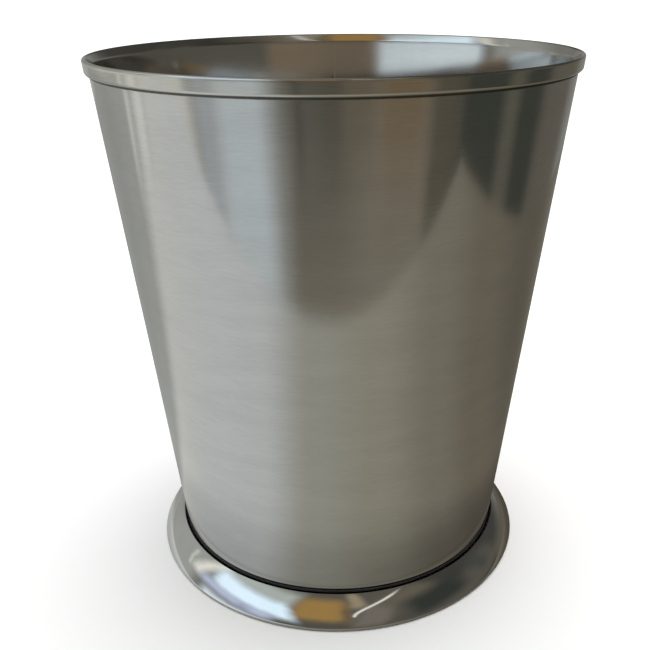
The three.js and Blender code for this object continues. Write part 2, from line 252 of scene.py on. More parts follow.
def make_studio():
    """A world that reflections see as the panels and the lamp, and the camera sees as white."""
    world = bpy.data.worlds.new("studio")
    world.use_nodes = True
    scene.world = world
    tree = world.node_tree
    tree.nodes.clear()
    direction = add_node(tree, "TexCoord").outputs["Generated"]
    parts = add_node(tree, "SeparateXYZ", {0: direction}).outputs
    azimuth = turn_from_camera(tree, parts)
    elevation = math_node(tree, "DEGREES", math_node(tree, "ARCSINE", parts["Z"]))
    wobble = add_node(tree, "TexNoise", {
        "Vector": direction, "Scale": PANEL_WOBBLE_SCALE, "Detail": 3.0,
    }).outputs[0]
    wobble = scaled(tree, wobble, -PANEL_WOBBLE, PANEL_WOBBLE)
    uneven_azimuth = math_node(tree, "ADD", azimuth, wobble)
    uneven_elevation = math_node(tree, "ADD", elevation, wobble)
    colour = STUDIO_BASE
    for _, centre, height, half_width, half_height, softness, lean, shade in PANELS:
        tilt = math_node(tree, "MULTIPLY", math_node(tree, "SUBTRACT", elevation, height), -lean)
        across = math_node(tree, "ADD", uneven_azimuth, tilt)
        across = smooth_window(tree, across, centre, half_width, softness)
        upward = smooth_window(tree, uneven_elevation, height, half_height, softness)
        colour = mix_colour(tree, math_node(tree, "MULTIPLY", across, upward), colour, shade)
    colour = mix_colour(tree, lamp_mask(tree, azimuth, elevation), colour, LAMP_COLOUR)
    reflected = add_node(tree, "Background", {"Color": colour})
    seen = add_node(tree, "Background", {"Color": WHITE})
    is_camera = add_node(tree, "LightPath").outputs["Is Camera Ray"]
    mixed = add_node(tree, "MixShader", {0: is_camera, 1: reflected.outputs[0], 2: seen.outputs[0]})
    output = add_node(tree, "OutputWorld")
    tree.links.new(mixed.outputs[0], output.inputs[0])


make_studio()

# ---- Stage: floor, the bench top that the metal reflects, and the light ------------------------

FLOOR_SIZE = 60.0
FLOOR_COLOUR = (0.88, 0.88, 0.88, 1.0)
BENCH_DROP = 1.0 * MM
BENCH_CORNERS = [(-1.4, -0.30), (0.59, -0.386), (0.61, 1.5), (-1.4, 1.5)]
BENCH_SHADES = [
    # degrees round the basket from the camera's side, colour
    (-180, (0.255, 0.247, 0.22)),
    (-130, (0.37, 0.38, 0.36)),
    (-108, (0.44, 0.45, 0.43)),
    (-95, (0.73, 0.74, 0.71)),
    (-60, (0.70, 0.72, 0.73)),
    (-38, (0.67, 0.69, 0.69)),
    (-12, (0.42, 0.42, 0.365)),
    (18, (0.37, 0.35, 0.285)),
    (50, (0.27, 0.245, 0.195)),
    (76, (0.205, 0.18, 0.14)),
    (118, (0.145, 0.13, 0.102)),
    (180, (0.255, 0.247, 0.22)),
]
BENCH_STRIPES = [
    # degrees round the basket, half width, softness, colour
    (-104, 1.2, 1.0, (0.80, 0.80, 0.74)),
    (-100.5, 0.8, 1.0, (0.50, 0.51, 0.48)),
    (-95, 2.2, 1.5, (0.84, 0.85, 0.80)),
    (-91, 0.8, 1.5, (0.62, 0.63, 0.61)),
]
STRIPES_FADE_IN = (0.62, 0.95)    # the stripes show only this far from the basket
CONTACT_SHADE_END = 0.165         # the bench is in the basket's own shade out to this radius
CONTACT_SHADE_LEFT = 0.28         # how deep that shade is on the left of the basket
CONTACT_SHADE_GAIN = 0.25         # how much deeper it is on the right
CONTACT_SHADE_TURN = (-20, 45)    # degrees over which it deepens


def add_object(name, mesh):
    """Puts a mesh in the scene under a name."""
    thing = bpy.data.objects.new(name, mesh)
    scene.collection.objects.link(thing)
    return thing


def flat_sheet(name, corners, z):
    mesh = bpy.data.meshes.new(name)
    mesh.from_pydata([(x, y, z) for x, y in corners], [], [tuple(range(len(corners)))])
    sheet = add_object(name, mesh)
    return sheet


def new_material(name):
    material = bpy.data.materials.new(name)
    material.use_nodes = True
    tree = material.node_tree
    tree.nodes.clear()
    return material, tree, add_node(tree, "OutputMaterial")


def make_floor():
    half = FLOOR_SIZE / 2
    floor = flat_sheet("floor", [(-half, -half), (half, -half), (half, half), (-half, half)], 0.0)
    material, tree, output = new_material("pale_floor")
    shader = add_node(tree, "BsdfDiffuse", {"Color": FLOOR_COLOUR})
    tree.links.new(shader.outputs[0], output.inputs[0])
    floor.data.materials.append(material)
    floor.visible_glossy = False


def make_bench_reflection():
    """A bench top that only reflections see: pale on the window side and shaded on the other."""
    bench = flat_sheet("bench_reflection", BENCH_CORNERS, -BENCH_DROP)
    material, tree, output = new_material("bench_reflection")
    parts, radius = object_place(tree)
    around = turn_from_camera(tree, parts)
    colour = BENCH_SHADES[0][1]
    for (low, _), (high, shade) in zip(BENCH_SHADES, BENCH_SHADES[1:]):
        colour = mix_colour(tree, smooth_step(tree, around, low, high), colour, shade)
    distant = smooth_step(tree, radius, *STRIPES_FADE_IN)
    for centre, half, softness, shade in BENCH_STRIPES:
        stripe = smooth_window(tree, around, centre, half, softness)
        colour = mix_colour(tree, math_node(tree, "MULTIPLY", stripe, distant), colour, shade)
    near = smooth_step(tree, radius, CONTACT_SHADE_END, ring_high.x)
    deeper = smooth_step(tree, around, *CONTACT_SHADE_TURN)
    depth = math_node(tree, "MULTIPLY", deeper, CONTACT_SHADE_GAIN)
    depth = math_node(tree, "MULTIPLY", math_node(tree, "ADD", depth, CONTACT_SHADE_LEFT), near)
    shader = add_node(tree, "Emission", {
        "Color": colour, "Strength": math_node(tree, "SUBTRACT", 1.0, depth),
    })
    tree.links.new(shader.outputs[0], output.inputs[0])
    bench.data.materials.append(material)
    bench.visible_camera = False
    bench.visible_diffuse = False
    bench.visible_shadow = False
    bench.visible_transmission = False


SUN_STRENGTH = 3.9
SUN_SPREAD = math.radians(80)
SUN_TILT = (math.radians(-12), math.radians(10), 0.0)


def make_soft_light():
    data = bpy.data.lights.new("overhead_softbox", "SUN")
    data.energy = SUN_STRENGTH
    data.angle = SUN_SPREAD
    light = bpy.data.objects.new("overhead_softbox", data)
    scene.collection.objects.link(light)
    light.rotation_euler = SUN_TILT
    light.visible_glossy = False


make_floor()
make_bench_reflection()
make_soft_light()
scene.view_settings.view_transform = "Standard"

# ---- Materials --------------------------------------------------------------------------------

LEAST_RADIUS = 0.1 * MM           # keeps the grain's angle defined on the axis itself
FINE_GRAIN = (2.5, 3.5)           # the finest lines, as multiples of the main ones
BROAD_GRAIN = (0.15, 0.06)        # the broad bands, the same way
MAIN_GRAIN_GAIN = 1.5             # the main lines are this much deeper than the finest
MOTTLE_EDGES = (0.3, 0.7)
SMUDGE_SCALE = 22.0
SMUDGE_ROUGHNESS = 0.03
WAVE_SCALE = 30.0
DUST_SCALE = 60.0
DUST_EDGES = (0.45, 0.75)


def turned_grain(tree, along, across):
    """Noise stretched round the axis: along cells per radian, across cells per metre."""
    parts, radius = object_place(tree)
    radius = math_node(tree, "MAXIMUM", radius, LEAST_RADIUS)
    cosine = math_node(tree, "MULTIPLY", math_node(tree, "DIVIDE", parts["X"], radius), along)
    sine = math_node(tree, "MULTIPLY", math_node(tree, "DIVIDE", parts["Y"], radius), along)
    step = math_node(tree, "MULTIPLY", math_node(tree, "ADD", parts["Z"], radius), across)
    vector = add_node(tree, "CombineXYZ", {"X": cosine, "Y": sine, "Z": step}).outputs[0]
    return add_node(tree, "TexNoise", {"Vector": vector, "Scale": 1.0, "Detail": 2.0}).outputs[0]


def cloudy(tree, scale, detail=3.0):
    """Even noise with scale cells per metre."""
    place = add_node(tree, "TexCoord").outputs["Object"]
    return add_node(tree, "TexNoise", {"Vector": place, "Scale": scale, "Detail": detail}).outputs[0]


def bump(tree, height, distance, under=None):
    """A normal tilted by the height's slope, on top of the normal under it."""
    inputs = {"Height": height, "Strength": 1.0, "Distance": distance}
    if under is not None:
        inputs["Normal"] = under
    return add_node(tree, "Bump", inputs).outputs[0]


def steel(name, colour, dark_colour, roughness, grain, anisotropy, grain_depth, wave_depth=0.0):
    """Steel with a grain round the axis. grain is (along, across) of its main lines, and
    wave_depth is that of its broad, shallow waves."""
    material, tree, output = new_material(name)
    along, across = grain
    lines = turned_grain(tree, along, across)
    fine = turned_grain(tree, along * FINE_GRAIN[0], across * FINE_GRAIN[1])
    bands = turned_grain(tree, along * BROAD_GRAIN[0], across * BROAD_GRAIN[1])
    smudges = cloudy(tree, SMUDGE_SCALE)
    half_lines = math_node(tree, "MULTIPLY", lines, 0.5)
    half_bands = math_node(tree, "MULTIPLY", bands, 0.5)
    mottle = math_node(tree, "ADD", half_lines, half_bands)
    shade = smooth_step(tree, mottle, *MOTTLE_EDGES)
    base = mix_colour(tree, shade, dark_colour, colour)
    low, high = roughness
    rough = scaled(tree, lines, low, high)
    uneven = scaled(tree, smudges, -SMUDGE_ROUGHNESS, SMUDGE_ROUGHNESS)
    rough = math_node(tree, "ADD", rough, uneven)
    normal = bump(tree, fine, grain_depth)
    normal = bump(tree, lines, grain_depth * MAIN_GRAIN_GAIN, normal)
    if wave_depth:
        normal = bump(tree, cloudy(tree, WAVE_SCALE, 1.0), wave_depth, normal)
    tangent = add_node(tree, "Tangent", direction_type="RADIAL", axis="Z").outputs[0]
    shader = add_node(tree, "BsdfPrincipled", {
        "Base Color": base, "Roughness": rough, "Metallic": 1.0, "Normal": normal,
        "Anisotropic": anisotropy, "Anisotropic Rotation": 0.25, "Tangent": tangent,
    })
    tree.links.new(shader.outputs[0], output.inputs[0])
    return material, tree, shader


def dark_material(name, colour, dusty, roughness, grain_scale, grain_depth):
    """Black plastic or rubber with a fine moulded texture and a little dust."""
    material, tree, output = new_material(name)
    dust = smooth_step(tree, cloudy(tree, DUST_SCALE, 5.0), *DUST_EDGES)
    base = mix_colour(tree, dust, colour, dusty)
    grain = cloudy(tree, grain_scale, 2.0)
    rough = scaled(tree, grain, *roughness)
    shader = add_node(tree, "BsdfPrincipled", {
        "Base Color": base, "Roughness": rough, "Normal": bump(tree, grain, grain_depth),
    })
    tree.links.new(shader.outputs[0], output.inputs[0])
    return material


SHADE_AND_GRIME_DROP = 0.55 * MM            # middle of the dark line of painted shade and grime, below the foot of the rim band
SHADE_AND_GRIME_HALF_HEIGHT = 0.45 * MM
SHADE_AND_GRIME_WANDER = 0.1 * MM
SHADE_AND_GRIME_WANDER_SCALE = 300.0
# colour of the dark line: painted shade under the rim band, partly grime
SHADE_AND_GRIME_COLOUR = (0.13, 0.125, 0.11)
SHADE_AND_GRIME_ROUGHNESS = 0.5


def make_brushed_body():
    """The body's steel, with a thin dark line under the rim band on the outer face: painted shade of the
    gap under the band, with some grime.
    """
    material, tree, shader = steel(
        "brushed_steel", (0.612, 0.61, 0.598), (0.557, 0.555, 0.543), (0.085, 0.125), (16.0, 1700.0),
        0.35, 0.0003 * MM, 0.004 * MM,
    )
    middle = band_low.z - SHADE_AND_GRIME_DROP
    parts, radius = object_place(tree)
    off = math_node(tree, "ABSOLUTE", math_node(tree, "SUBTRACT", parts["Z"], middle))
    wander = scaled(tree, cloudy(tree, SHADE_AND_GRIME_WANDER_SCALE), -SHADE_AND_GRIME_WANDER, SHADE_AND_GRIME_WANDER)
    ragged = math_node(tree, "ADD", off, wander)
    # the dark line under the rim band is painted shade, with some grime, on the outer face only
    shade_and_grime_mask = smooth_step(tree, ragged, SHADE_AND_GRIME_HALF_HEIGHT * 1.6, SHADE_AND_GRIME_HALF_HEIGHT * 0.6)
    mid_sheet = body_outer_radius(middle) - BODY_SHEET / 2
    outside = math_node(tree, "GREATER_THAN", radius, mid_sheet)
    shade_and_grime_mask = math_node(tree, "MULTIPLY", shade_and_grime_mask, outside)
    unshaded_colour = shader.inputs["Base Color"].links[0].from_socket
    tree.links.new(mix_colour(tree, shade_and_grime_mask, unshaded_colour, SHADE_AND_GRIME_COLOUR), shader.inputs["Base Color"])
    unshaded_rough = shader.inputs["Roughness"].links[0].from_socket
    rough = add_node(tree, "Mix", {0: shade_and_grime_mask, 2: unshaded_rough, 3: SHADE_AND_GRIME_ROUGHNESS}).outputs[0]
    tree.links.new(rough, shader.inputs["Roughness"])
    return material


MATERIALS = {
    "brushed_steel": make_brushed_body(),
    "satin_steel": steel(
        "satin_steel", (0.62, 0.61, 0.58), (0.54, 0.53, 0.50), (0.09, 0.14), (14.0, 2200.0),
        0.4, 0.0003 * MM,
    )[0],
    "floor_steel": steel(
        "floor_steel", (0.56, 0.55, 0.53), (0.50, 0.49, 0.47), (0.26, 0.36), (9.0, 1300.0),
        0.4, 0.004 * MM,
    )[0],
    "polished_steel": steel(
        "polished_steel", (0.68, 0.68, 0.67), (0.64, 0.64, 0.63), (0.03, 0.07), (10.0, 1500.0),
        0.2, 0.0002 * MM, 0.005 * MM,
    )[0],
    "zinc_steel": steel(
        "zinc_steel", (0.62, 0.62, 0.60), (0.50, 0.50, 0.48), (0.28, 0.42), (6.0, 2500.0),
        0.0, 0.002 * MM,
    )[0],
    "black_plastic": dark_material(
        "black_plastic", (0.018, 0.018, 0.019), (0.035, 0.034, 0.032), (0.42, 0.6), 2600.0, 0.03 * MM
    ),
    "black_gasket": dark_material(
        "black_gasket", (0.024, 0.024, 0.024), (0.040, 0.039, 0.037), (0.6, 0.8), 1800.0, 0.02 * MM
    ),
    "foot_rubber": dark_material(
        "foot_rubber", (0.020, 0.020, 0.020), (0.05, 0.048, 0.044), (0.7, 0.9), 1500.0, 0.04 * MM
    ),
}

# ---- Mesh tools -------------------------------------------------------------------------------

SHARP_EDGE = 35.0                 # degrees
DISC_FACETS = 48
ON_AXIS = 1e-7                    # an outline point nearer to the axis than this lies on it


def arc(centre_r, centre_z, radius, start, end, steps):
    """Points on an arc in the (radius, height) plane, angles in degrees, both ends included."""
    points = []
    for i in range(steps + 1):
        angle = math.radians(start + (end - start) * i / steps)
        points.append((centre_r + radius * math.cos(angle), centre_z + radius * math.sin(angle)))
    return points


def line(a, b, steps):
    """Points from a to b, the end left out."""
    return [(a[0] + (b[0] - a[0]) * i / steps, a[1] + (b[1] - a[1]) * i / steps) for i in range(steps)]


def bulged_line(a, b, bulge, steps):
    """Points from a to b on a parabola that bulges to the left, both ends included."""
    start, chord = Vector(a), Vector(b) - Vector(a)
    outward = Vector((-chord.y, chord.x)).normalized()
    points = []
    for i in range(steps + 1):
        t = i / steps
        points.append(tuple(start + chord * t + outward * (4 * bulge * t * (1 - t))))
    return points


def sheet_outline(path, thickness):
    """The outline of a bent sheet whose other face is a thickness to the right of the path."""
    points = [Vector(p) for p in path]

    def right_of(i):
        along = (points[i + 1] - points[i]).normalized()
        return Vector((along.y, -along.x))

    last = len(points) - 1
    far = []
    for i, point in enumerate(points):
        before, after = right_of(max(i - 1, 0)), right_of(min(i, last - 1))
        mitre = (before + after).normalized()
        far.append(tuple(point + mitre * (thickness / mitre.dot(before))))
    return list(path) + far[::-1]


def even_angles(count):
    return [2 * math.pi * i / count for i in range(count)]


def seam_angles(count, width, steps):
    """Even angles, with extra ones close together across the seam."""
    near = [SEAM_ANGLE + width * i / steps for i in range(-steps, steps + 1)]
    far = [a for a in even_angles(count) if abs(a - SEAM_ANGLE) > width * 1.05]
    return sorted(near + far)


def shade_smooth(mesh, sharp):
    """Smooth shading, except over edges sharper than an angle in degrees."""
    mesh.polygons.foreach_set("use_smooth", [True] * len(mesh.polygons))
    mesh.set_sharp_from_angle(angle=math.radians(sharp))


def revolve(name, outline, angles, change=None, sharp=SHARP_EDGE):
    """A solid of revolution. outline is a closed loop of (radius, height); change(r, z, angle)
    may return a new (r, z)."""
    area = sum(
        r0 * z1 - r1 * z0 for (r0, z0), (r1, z1) in zip(outline, outline[1:] + outline[:1])
    )
    if area < 0:
        outline = outline[::-1]
    verts, rows = [], []
    for r, z in outline:
        if r < ON_AXIS:
            rows.append([len(verts)] * len(angles))
            verts.append((0.0, 0.0, z))
            continue
        rows.append(list(range(len(verts), len(verts) + len(angles))))
        for angle in angles:
            radius, height = change(r, z, angle) if change else (r, z)
            verts.append((radius * math.cos(angle), radius * math.sin(angle), height))
    faces = []
    for i, low in enumerate(rows):
        high = rows[(i + 1) % len(rows)]
        for j in range(len(angles)):
            k = (j + 1) % len(angles)
            face = list(dict.fromkeys((low[j], low[k], high[k], high[j])))
            if len(face) > 2:
                faces.append(face)
    mesh = bpy.data.meshes.new(name)
    mesh.from_pydata(verts, [], faces)
    mesh.validate()
    shade_smooth(mesh, sharp)
    return add_object(name, mesh)


def disc(radius, bottom, top, x=0.0, y=0.0):
    """A plain turned plug used to add to or cut from a moulding."""
    outline = [(0.0, bottom), (radius, bottom), (radius, top), (0.0, top)]
    cutter = revolve("plug", outline, even_angles(DISC_FACETS))
    move_aside(cutter, x, y)
    return cutter


def tapered_block(name, bottom, bottom_z, top, top_z, turn):
    """A closed block between two four-cornered faces, turned about the axis."""
    verts = [(x, y, bottom_z) for x, y in bottom] + [(x, y, top_z) for x, y in top]
    faces = [(3, 2, 1, 0), (4, 5, 6, 7), (0, 1, 5, 4), (1, 2, 6, 5), (2, 3, 7, 6), (3, 0, 4, 7)]
    mesh = bpy.data.meshes.new(name)
    mesh.from_pydata(verts, [], faces)
    mesh.transform(Matrix.Rotation(turn, 4, "Z"))
    return add_object(name, mesh)


def move_aside(piece, x, y):
    piece.data.transform(Matrix.Translation((x, y, 0.0)))


def combine(target, other, operation):
    """Adds a closed mesh to another or cuts it away, and bakes the result."""
    modifier = target.modifiers.new("combine", "BOOLEAN")
    modifier.operation = operation
    modifier.solver = "MANIFOLD"
    modifier.object = other
    bpy.context.view_layer.update()
    graph = bpy.context.evaluated_depsgraph_get()
    mesh = bpy.data.meshes.new_from_object(target.evaluated_get(graph))
    mesh.validate()
    target.modifiers.clear()
    target.data = mesh
    shade_smooth(mesh, SHARP_EDGE)
    bpy.data.objects.remove(other)


def install(piece, node, slot):
    """Puts a piece in a CAD node's place, with the finish of a material slot."""
    piece.data.materials.append(MATERIALS[slot])
    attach(piece, "root")
    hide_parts(node)


# ---- Body shell -------------------------------------------------------------------------------

BODY_BEND = 1.2 * MM
BODY_FLANGE_RADIUS = 84 * MM
BODY_ROWS = 44
BODY_FACETS = 300
WELD_HALF_WIDTH = 0.9 * MM
WELD_HEIGHT = 0.06 * MM
SWELL_DEPTH = 0.05 * MM           # how far the rolled sheet is out of true
SWELL_LOBES = 3
SWELL_TWIST = 9                   # radians per metre of height
SWELL_HEIGHT = 0.25               # the swell is half a wave over this height


def make_body():
    bend_z = body_low.z + BODY_BEND
    bend_r = body_outer_radius(bend_z) - BODY_BEND
    outer_face = [
        *line((body_high.x, body_high.z), (bend_r + BODY_BEND, bend_z), BODY_ROWS),
        *arc(bend_r, bend_z, BODY_BEND, 0, -90, 8),
        (BODY_FLANGE_RADIUS, body_low.z),
    ]

    def change(r, z, angle):
        across = (angle - SEAM_ANGLE) * r
        bead = WELD_HEIGHT * max(0.0, 1 - (across / WELD_HALF_WIDTH) ** 2)
        outside = r > body_outer_radius(z) - BODY_SHEET / 2
        swell = SWELL_DEPTH * math.sin(SWELL_LOBES * angle + SWELL_TWIST * z)
        swell *= math.sin(math.pi * (z - body_low.z) / SWELL_HEIGHT)
        if z < bend_z or z > band_low.z:
            swell = 0.0
        return r + swell + (bead if outside else -bead), z

    angles = seam_angles(BODY_FACETS, 1.2 * WELD_HALF_WIDTH / body_high.x, 5)
    piece = revolve("body", sheet_outline(outer_face, BODY_SHEET), angles, change)
    install(piece, "body_shell", "brushed_steel")


# ---- Rim band ---------------------------------------------------------------------------------

BAND_SHEET = 0.5 * MM
BAND_CORNER = 1.5 * MM
BAND_TOP_ROUND = 1.05 * MM
BAND_LEG = 5.4 * MM
BAND_SLOPE = 25.0                 # degrees from upright
BAND_BEND = [
    # millimetres out and up from the corner where the slope would meet the leg
    (-0.04, -0.55),
    (0.01, -0.2),
    (0.08, 0.1),
    (0.19, 0.4),
    (0.34, 0.73),
]
BAND_FACETS = 360
JOINT_HALF_WIDTH = 0.15 * MM
JOINT_DEPTH = 0.08 * MM


def make_rim_band():
    corner_z = band_low.z + BAND_CORNER
    crest_z = band_high.z - BAND_TOP_ROUND
    wall_foot = band_high.x - BODY_TAPER * (crest_z - corner_z)
    leg_z = band_high.z - BAND_LEG
    leg_foot = body_inner_radius(leg_z) - FIT_GAP - BAND_SHEET
    leg_top = body_inner_radius(body_high.z) - FIT_GAP - BAND_SHEET
    top = arc(band_high.x - BAND_TOP_ROUND, crest_z, BAND_TOP_ROUND, 180 - BAND_SLOPE, 0, 18)
    drop = (top[0][0] - leg_top) / math.tan(math.radians(BAND_SLOPE))
    bend_z = top[0][1] - drop
    bend = [(leg_top + out * MM, bend_z + up * MM) for out, up in BAND_BEND]
    wall = line((band_high.x, crest_z), (wall_foot, corner_z), 6)
    outer_face = [
        (leg_foot, leg_z),
        *bend,
        *top,
        *wall[1:],
        *arc(wall_foot - BAND_CORNER, corner_z, BAND_CORNER, 0, -90, 10),
        (body_outer_radius(band_low.z) + FIT_GAP, band_low.z),
    ]

    def change(r, z, angle):
        across = abs(angle - SEAM_ANGLE) * r / JOINT_HALF_WIDTH
        dip = JOINT_DEPTH * max(0.0, 1 - across)
        outside = r > wall_foot - BAND_SHEET / 2 and z < crest_z
        return r - (dip if outside else 0.0), z

    angles = seam_angles(BAND_FACETS, 1.5 * JOINT_HALF_WIDTH / band_high.x, 3)
    piece = revolve("rim", sheet_outline(outer_face, BAND_SHEET), angles, change)
    install(piece, "rim_band", "satin_steel")


# ---- Floor pan --------------------------------------------------------------------------------

PAN_SHEET = 0.6 * MM
PAN_CORNER = 2.5 * MM
PAN_BEAD_RADIUS = 66 * MM
PAN_BEAD_WIDTH = 12 * MM
PAN_BEAD_HEIGHT = 1.6 * MM
PAN_BEAD_STEPS = 16
PAN_BEAD_FULLNESS = 0.7           # below 1 the bead's crest is broader than a cosine's
PAN_SKIRT_LEAN = 0.15 * MM
PAN_CENTRE_RADIUS = 4 * MM
PAN_FACETS = 288
WELD_SPOT_RADIUS = 4.5 * MM
WELD_SPOT_DEPTH = 0.12 * MM


def middles(node):
    """The middles of the four copies of a repeated node."""
    boxes = [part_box(f"{node}_{number}") for number in range(1, 5)]
    return [(low + high) / 2 for low, high in boxes]


screw_spots = middles("base_screw")


def make_floor_pan():
    top_z = pan_high.z - PAN_BEAD_HEIGHT
    skirt_z = top_z - PAN_CORNER
    corner_r = body_inner_radius(skirt_z) - FIT_GAP - PAN_CORNER
    foot_r = body_inner_radius(pan_low.z) - FIT_GAP - PAN_SKIRT_LEAN
    bead = []
    for i in range(PAN_BEAD_STEPS + 1):
        t = i / PAN_BEAD_STEPS
        rise = (0.5 - 0.5 * math.cos(2 * math.pi * t)) ** PAN_BEAD_FULLNESS
        bead.append((PAN_BEAD_RADIUS + PAN_BEAD_WIDTH * (t - 0.5), top_z + PAN_BEAD_HEIGHT * rise))
    top_face = [
        (0.0, top_z),
        *line((PAN_CENTRE_RADIUS, top_z), bead[0], 36),
        *bead,
        *line((bead[-1][0] + 1 * MM, top_z), (corner_r, top_z), 6),
        *arc(corner_r, skirt_z, PAN_CORNER, 90, 0, 10),
        (foot_r, pan_low.z),
    ]

    def change(r, z, angle):
        point = Vector((r * math.cos(angle), r * math.sin(angle), 0.0))
        for spot in screw_spots:
            away = (point - Vector((spot.x, spot.y, 0.0))).length / WELD_SPOT_RADIUS
            if away < 1:
                return r, z - WELD_SPOT_DEPTH * (0.5 + 0.5 * math.cos(math.pi * away))
        return r, z

    piece = revolve("pan", sheet_outline(top_face, PAN_SHEET), even_angles(PAN_FACETS), change)
    install(piece, "floor_pan", "floor_steel")


# ---- Spacer gasket ----------------------------------------------------------------------------

GASKET_INNER_RADIUS = 83 * MM
GASKET_ROUND = 0.5 * MM
GASKET_WAIST = 0.15 * MM
GASKET_FACETS = 256


def make_gasket():
    outer = gasket_high.x
    round_r = outer - GASKET_ROUND
    outline = [
        (GASKET_INNER_RADIUS, gasket_high.z),
        *arc(round_r, gasket_high.z - GASKET_ROUND, GASKET_ROUND, 90, 0, 5),
        (outer - GASKET_WAIST, (gasket_low.z + gasket_high.z) / 2),
        *arc(round_r, gasket_low.z + GASKET_ROUND, GASKET_ROUND, 0, -90, 5),
        (GASKET_INNER_RADIUS, gasket_low.z),
    ]
    gasket = revolve("gasket", outline, even_angles(GASKET_FACETS))
    install(gasket, "spacer_gasket", "black_gasket")


# ---- Base ring --------------------------------------------------------------------------------

RING_SHEET = 0.6 * MM
RING_LIP_RADIUS = 92.7 * MM
RING_BULGE = 1.0 * MM
RING_ROLL = 0.9 * MM
RING_FACETS = 384
LIP_ROUND = 0.7 * MM
LIP_FOOT_INSET = 1.05 * MM        # the bend up to the lip lies this far inside the lip's radius
LIP_FOOT_RISE = 0.15 * MM
LEDGE_DROP = 0.9 * MM             # the ledge lies this far below the lip's top
LEDGE_INNER_RADIUS = 82 * MM
LEDGE_INSET = 1.3 * MM            # the flat ledge ends this far inside the lip's radius


def make_base_ring():
    ledge_z = ring_high.z - LEDGE_DROP
    roll_r = ring_high.x - RING_ROLL
    roll_z = ring_low.z + RING_ROLL
    roll = arc(roll_r, roll_z, RING_ROLL, 30, -90, 12)
    flange = bulged_line((RING_LIP_RADIUS, ring_high.z), roll[0], RING_BULGE, 28)
    top_face = [
        (LEDGE_INNER_RADIUS, ledge_z),
        (RING_LIP_RADIUS - LEDGE_INSET, ledge_z),
        (RING_LIP_RADIUS - LIP_FOOT_INSET, ledge_z + LIP_FOOT_RISE),
        *arc(RING_LIP_RADIUS, ring_high.z - LIP_ROUND, LIP_ROUND, 150, 90, 6)[:-1],
        *flange,
        *roll[1:],
    ]
    piece = revolve("foot_ring", sheet_outline(top_face, RING_SHEET), even_angles(RING_FACETS))
    install(piece, "base_ring", "polished_steel")


# ---- Base plate -------------------------------------------------------------------------------

PLATE_THICKNESS = 2.2 * MM
PLATE_EDGE = 0.8 * MM
PLATE_FACETS = 192
GROOVE_RADII = (20 * MM, 40 * MM, 92 * MM)
GROOVE_WIDTH = 1.6 * MM
GROOVE_FLOOR = 0.6                # width of a groove's floor over the width of its mouth
GROOVE_DEPTH = 0.35 * MM
UPSTAND_RADII = (83 * MM, 86 * MM)
BOSS_RADIUS = 9 * MM
BOSS_TOP_Z = 8 * MM
HUB_RADIUS = 14 * MM
RIB_COUNT = 8
RIB_THICKNESS = 2 * MM
RIB_DRAFT = 0.8                   # width of a rib's top over the width of its foot
RIB_TOP_Z = 7 * MM
COUNTERBORE_RADIUS = 5.8 * MM
SCREW_HOLE_RADIUS = 2.3 * MM
FOOT_HOLE_RADIUS = 2.7 * MM
CUT_CLEAR = 1 * MM                # cutters run this far past the surface they start from
foot_spots = middles("rubber_foot")


def plate_groove(radius):
    """A shallow ring groove in the underside of the plate."""
    low = plate_low.z
    mouth = GROOVE_WIDTH / 2
    floor = mouth * GROOVE_FLOOR
    return [
        (radius - mouth, low), (radius - floor, low + GROOVE_DEPTH),
        (radius + floor, low + GROOVE_DEPTH), (radius + mouth, low),
    ]


def make_rib(angle, start, end, foot_z):
    """A tapered rib on the plate's upper side, from the radius start to the radius end."""
    half = RIB_THICKNESS / 2
    foot = [(start, -half), (end, -half), (end, half), (start, half)]
    top = [(x, y * RIB_DRAFT) for x, y in foot]
    return tapered_block("rib", foot, foot_z, top, RIB_TOP_Z, angle)


def make_base_plate():
    low = plate_low.z
    top = low + PLATE_THICKNESS
    middle = low + PLATE_THICKNESS / 2
    inner, outer = UPSTAND_RADII
    outline = [(0.0, low)]
    for radius in GROOVE_RADII:
        outline += plate_groove(radius)
    outline += [
        *arc(plate_high.x - PLATE_EDGE, low + PLATE_EDGE, PLATE_EDGE, -90, 0, 6),
        (plate_high.x, top), (outer, top), (outer, plate_high.z), (inner, plate_high.z),
        (inner, top), (0.0, top),
    ]
    plate = revolve("plate", outline, even_angles(PLATE_FACETS))
    combine(plate, disc(HUB_RADIUS, middle, RIB_TOP_Z), "UNION")
    for i in range(RIB_COUNT):
        angle = 2 * math.pi * (i + 0.5) / RIB_COUNT
        combine(plate, make_rib(angle, HUB_RADIUS / 2, (inner + outer) / 2, middle), "UNION")
    below = low - CUT_CLEAR
    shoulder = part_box("screw_washer_1")[1].z + FIT_GAP
    for spot in screw_spots:
        boss = disc(BOSS_RADIUS, middle, BOSS_TOP_Z, spot.x, spot.y)
        counterbore = disc(COUNTERBORE_RADIUS, below, shoulder, spot.x, spot.y)
        hole = disc(SCREW_HOLE_RADIUS, below, BOSS_TOP_Z + CUT_CLEAR, spot.x, spot.y)
        combine(plate, boss, "UNION")
        combine(plate, counterbore, "DIFFERENCE")
        combine(plate, hole, "DIFFERENCE")
    for spot in foot_spots:
        combine(plate, disc(FOOT_HOLE_RADIUS, below, top + CUT_CLEAR, spot.x, spot.y), "DIFFERENCE")
    install(plate, "base_plate", "black_plastic")


# ---- Screws, washers, standoffs and feet ------------------------------------------------------

